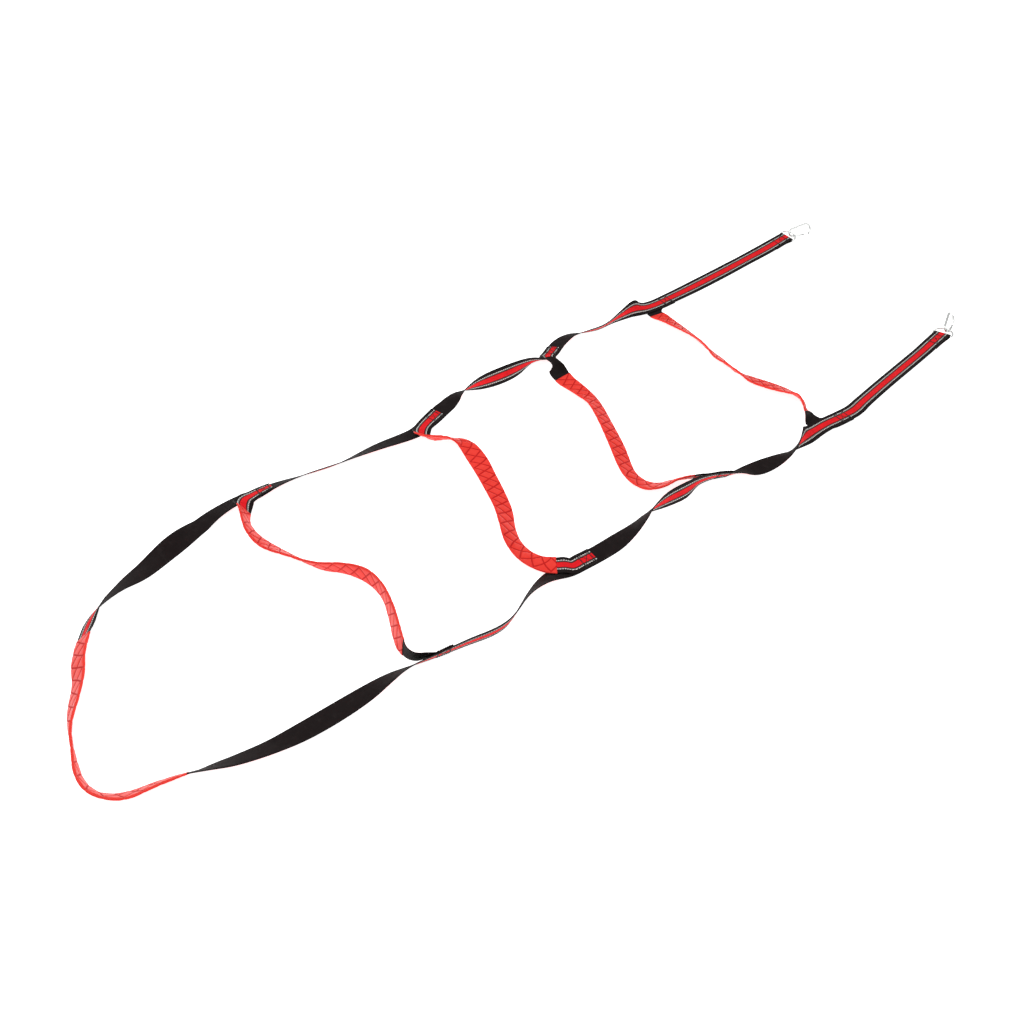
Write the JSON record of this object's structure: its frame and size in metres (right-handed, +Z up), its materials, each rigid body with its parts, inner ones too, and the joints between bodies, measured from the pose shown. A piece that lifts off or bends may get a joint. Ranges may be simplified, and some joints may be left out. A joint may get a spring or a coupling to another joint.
{
  "type": "escape ladder",
  "caption": "Flexible escape ladder of striped webbing, laid out flat, with sleeved steps and a snap hook on a D-ring at each top end.",
  "frame": {"origin": "centre of the bounding box at floor level", "axes": "+X along the rails towards the hooks, +Y from the right rail to the left rail, +Z up off the floor"},
  "size_m": [2.1106, 0.6118, 0.0415],
  "materials": {
    "webbing": "woven, black back and striped front",
    "sleeve": "quilted red reflective cover",
    "steel": "bright zinc plated",
    "spring_steel": "plain"
  },
  "bodies": {
    "ladder": {"left_rail_top_web": "webbing", "left_rail_upper_web": "webbing", "left_rail_middle_web": "webbing", "left_rail_lower_web": "webbing", "left_rail_bottom_web": "webbing", "bottom_step_web": "webbing", "right_rail_bottom_web": "webbing", "right_rail_lower_web": "webbing", "right_rail_middle_web": "webbing", "right_rail_upper_web": "webbing", "right_rail_top_web": "webbing", "step_1_web": "webbing", "step_2_web": "webbing", "step_3_web": "webbing", "step_4_web": "webbing", "bottom_step_sleeve": "sleeve", "step_1_sleeve": "sleeve", "step_2_sleeve": "sleeve", "step_3_sleeve": "sleeve", "step_4_sleeve": "sleeve"},
    "left_ring": {"left_d_ring": "steel"},
    "left_hook": {"left_hook_body": "steel", "left_hinge_pin": "spring_steel"},
    "left_gate": {"left_gate": "steel", "left_gate_spring": "spring_steel", "left_plunger": "spring_steel"},
    "right_ring": {"right_d_ring": "steel"},
    "right_hook": {"right_hook_body": "steel", "right_hinge_pin": "spring_steel"},
    "right_gate": {"right_gate": "steel", "right_gate_spring": "spring_steel", "right_plunger": "spring_steel"}
  },
  "joints": [
    {"name": "left_ring_swing", "type": "hinge", "parent": "ladder", "child": "left_ring", "pos_m": [0.97889, 0.26914, 0.00654], "axis": [-0.0045, -0.9976, -0.0697], "range_deg": [-60, 60]},
    {"name": "left_hook_swing", "type": "hinge", "parent": "left_ring", "child": "left_hook", "pos_m": [0.99782, 0.2686, 0.01296], "axis": [-0.0045, -0.9976, -0.0697], "range_deg": [-30, 30]},
    {"name": "left_gate_open", "type": "hinge", "parent": "left_hook", "child": "left_gate", "pos_m": [1.0012, 0.26095, 0.00571], "axis": [-0.2583, -0.7221, 0.6418], "range_deg": [0, 20], "stiffness_Nm_per_rad": 0.2, "springref_deg": -17.19},
    {"name": "right_ring_swing", "type": "hinge", "parent": "ladder", "child": "right_ring", "pos_m": [0.90898, -0.2446, 0.00821], "axis": [-0.1007, 0.9826, -0.1561], "range_deg": [-60, 60]},
    {"name": "right_hook_swing", "type": "hinge", "parent": "right_ring", "child": "right_hook", "pos_m": [0.92815, -0.24185, 0.01318], "axis": [-0.1007, 0.9826, -0.1561], "range_deg": [-30, 30]},
    {"name": "right_gate_open", "type": "hinge", "parent": "right_hook", "child": "right_gate", "pos_m": [0.93552, -0.2458, 0.00593], "axis": [0.241, -0.728, 0.6418], "range_deg": [0, 20], "stiffness_Nm_per_rad": 0.2, "springref_deg": -17.19}
  ]
}
